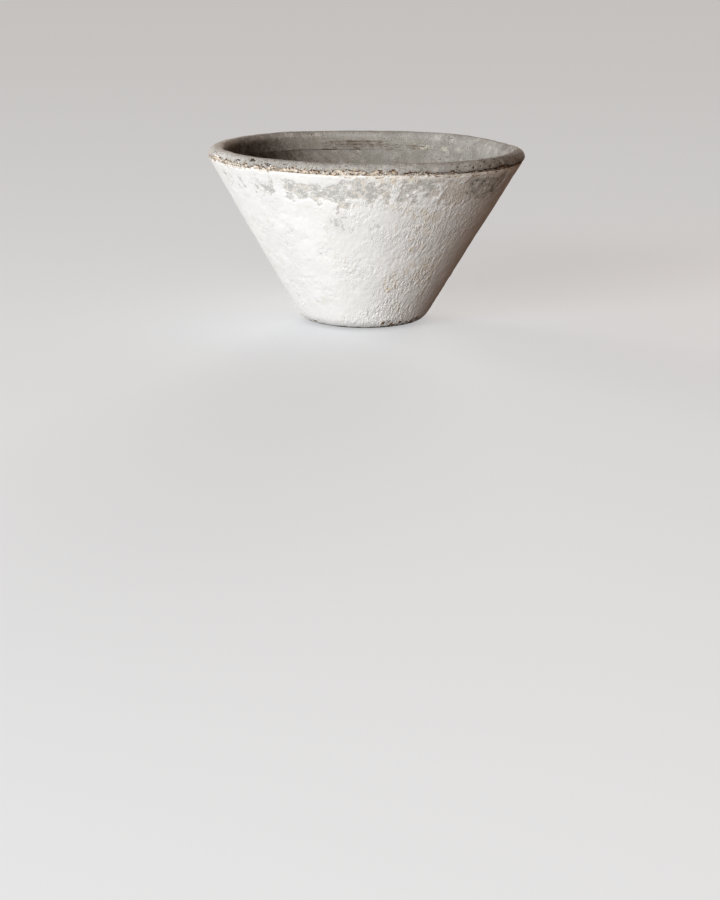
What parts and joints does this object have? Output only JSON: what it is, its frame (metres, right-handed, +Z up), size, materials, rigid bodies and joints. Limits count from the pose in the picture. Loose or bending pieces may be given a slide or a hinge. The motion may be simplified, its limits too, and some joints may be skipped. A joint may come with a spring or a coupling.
{
  "type": "cone planter",
  "caption": "Free-standing cement planter shaped as an open cone, with a thick rolled rim, a rounded heel, a flat foot with a drain hole, and worn white paint outside.",
  "frame": {"origin": "centre of the flat underside, on the ground", "axes": "+Z up along the cone's axis; +Y away from the pictured front"},
  "size_m": [0.6, 0.6, 0.334],
  "materials": {
    "cement": "bare, weathered fibre cement",
    "cream_paint": "matt masonry paint",
    "white_paint": "matt masonry paint"
  },
  "bodies": {
    "root": {"cone_wall": "cement", "rim_collar": "cement", "base_disc": "cement", "cream_undercoat": "cream_paint", "white_topcoat": "white_paint"}
  },
  "joints": []
}
